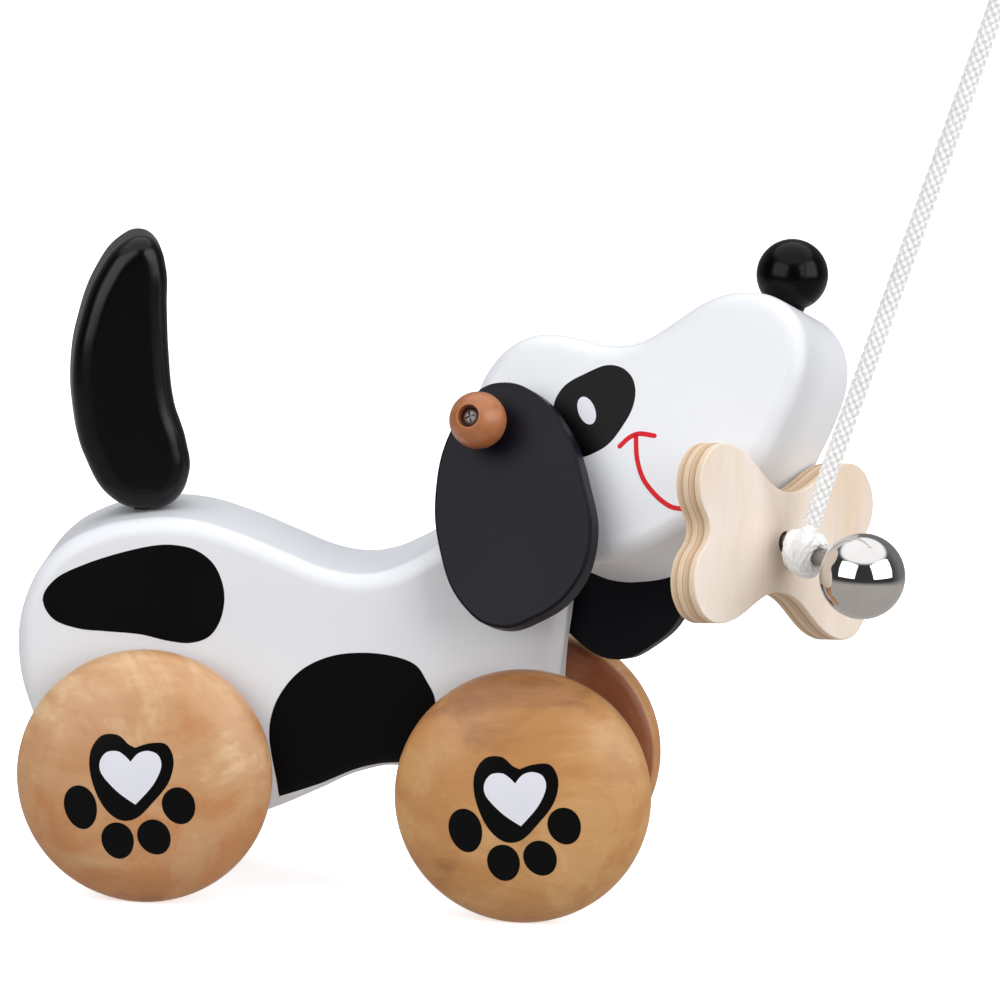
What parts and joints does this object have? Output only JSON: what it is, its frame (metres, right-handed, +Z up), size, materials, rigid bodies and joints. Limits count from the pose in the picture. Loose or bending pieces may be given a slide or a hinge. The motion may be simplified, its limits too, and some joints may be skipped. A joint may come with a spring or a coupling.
{
  "type": "pull along toy",
  "caption": "Wooden pull-along toy dog on domed wheels, with a turning head, loose ears, an upright tail, a plywood bone and a pull cord.",
  "frame": {"origin": "On the ground plane, below the middle of the toy's bounding box without its cord (X and Y)", "axes": "+X is the way the toy dog faces and rolls, +Y its left side, +Z up"},
  "size_m": [0.2527, 0.1038, 0.2902],
  "materials": {
    "white_paint": "white satin paint on solid wood",
    "black_gloss": "black gloss paint on solid wood",
    "black_satin": "matt black paint on a thin wooden board",
    "wheel_wood": "clear satin varnish on pale honey-coloured wood",
    "bead_wood": "clear varnish on reddish-brown wood",
    "birch_ply": "bare sanded plywood with dark glue lines on its edge",
    "dowel_wood": "bare dowel",
    "steel": "mirror-polished plate",
    "zinc": "dull plated steel",
    "fibre": "pressed fibre",
    "cord": "braided synthetic cord"
  },
  "bodies": {
    "body": {"body_block": "white_paint", "neck_peg": "dowel_wood", "tail_peg": "dowel_wood", "front_washer_right": "fibre", "front_washer_left": "fibre", "rear_washer_right": "fibre", "rear_washer_left": "fibre"},
    "head": {"head_block": "white_paint", "nose_ball": "black_gloss", "nose_peg": "dowel_wood", "ear_bead_right": "bead_wood", "ear_bead_left": "bead_wood", "ear_screw_right": "zinc", "ear_screw_left": "zinc", "bone_post": "zinc", "steel_ball": "steel", "cord_knot": "cord", "pull_cord": "cord", "cord_end_knot": "cord", "hand_loop": "cord"},
    "ear_right_hanger": {"ear_spacer_right": "dowel_wood"},
    "ear_right": {"ear_right": "black_satin"},
    "ear_left_hanger": {"ear_spacer_left": "dowel_wood"},
    "ear_left": {"ear_left": "black_satin"},
    "tail": {"tail": "black_gloss"},
    "bone": {"bone": "birch_ply"},
    "front_wheels": {"front_axle": "dowel_wood", "front_wheel_right": "wheel_wood", "front_wheel_left": "wheel_wood"},
    "rear_wheels": {"rear_axle": "dowel_wood", "rear_wheel_right": "wheel_wood", "rear_wheel_left": "wheel_wood"}
  },
  "joints": [
    {"name": "head_turn", "type": "hinge", "parent": "body", "child": "head", "pos_m": [0.01374, 0.00934, 0.091], "axis": [0.6561, 0, 0.7547], "range_deg": [-3, 57]},
    {"name": "ear_right_swing", "type": "hinge", "parent": "head", "child": "ear_right_hanger", "pos_m": [0.00609, -0.00749, 0.11527], "axis": [-0.3426, -0.891, 0.2978], "range_deg": [0, 20]},
    {"name": "ear_right_lean", "type": "hinge", "parent": "ear_right_hanger", "child": "ear_right", "pos_m": [0.00609, -0.00749, 0.11527], "axis": [-0.9649, -0.2303, 0.1266], "range_deg": [-1, 13.5]},
    {"name": "ear_left_swing", "type": "hinge", "parent": "head", "child": "ear_left_hanger", "pos_m": [0.02312, 0.03679, 0.10046], "axis": [-0.3426, -0.891, 0.2978], "range_deg": [0, 20]},
    {"name": "ear_left_lean", "type": "hinge", "parent": "ear_left_hanger", "child": "ear_left", "pos_m": [0.02312, 0.03679, 0.10046], "axis": [0.5719, -0.7917, 0.215], "range_deg": [-13.5, 1]},
    {"name": "tail_turn", "type": "hinge", "parent": "body", "child": "tail", "pos_m": [-0.07626, 0.00934, 0.0899], "axis": [0, 0, 1], "range_deg": [-45, 45]},
    {"name": "bone_swivel", "type": "hinge", "parent": "head", "child": "bone", "pos_m": [0.07572, -0.02217, 0.09415], "axis": [0.6688, -0.7323, -0.1281], "range_deg": [0, 8]},
    {"name": "front_wheels_spin", "type": "hinge", "parent": "body", "child": "front_wheels", "pos_m": [0.01724, 0.00934, 0.03], "axis": [0, 1, 0], "continuous": true},
    {"name": "rear_wheels_spin", "type": "hinge", "parent": "body", "child": "rear_wheels", "pos_m": [-0.07176, 0.00934, 0.03], "axis": [0, 1, 0], "continuous": true}
  ],
  "couplings": [
    {"joint": "ear_right_lean", "follows": "head_turn", "ratio": 0.22605},
    {"joint": "ear_left_lean", "follows": "head_turn", "ratio": -0.22605}
  ]
}
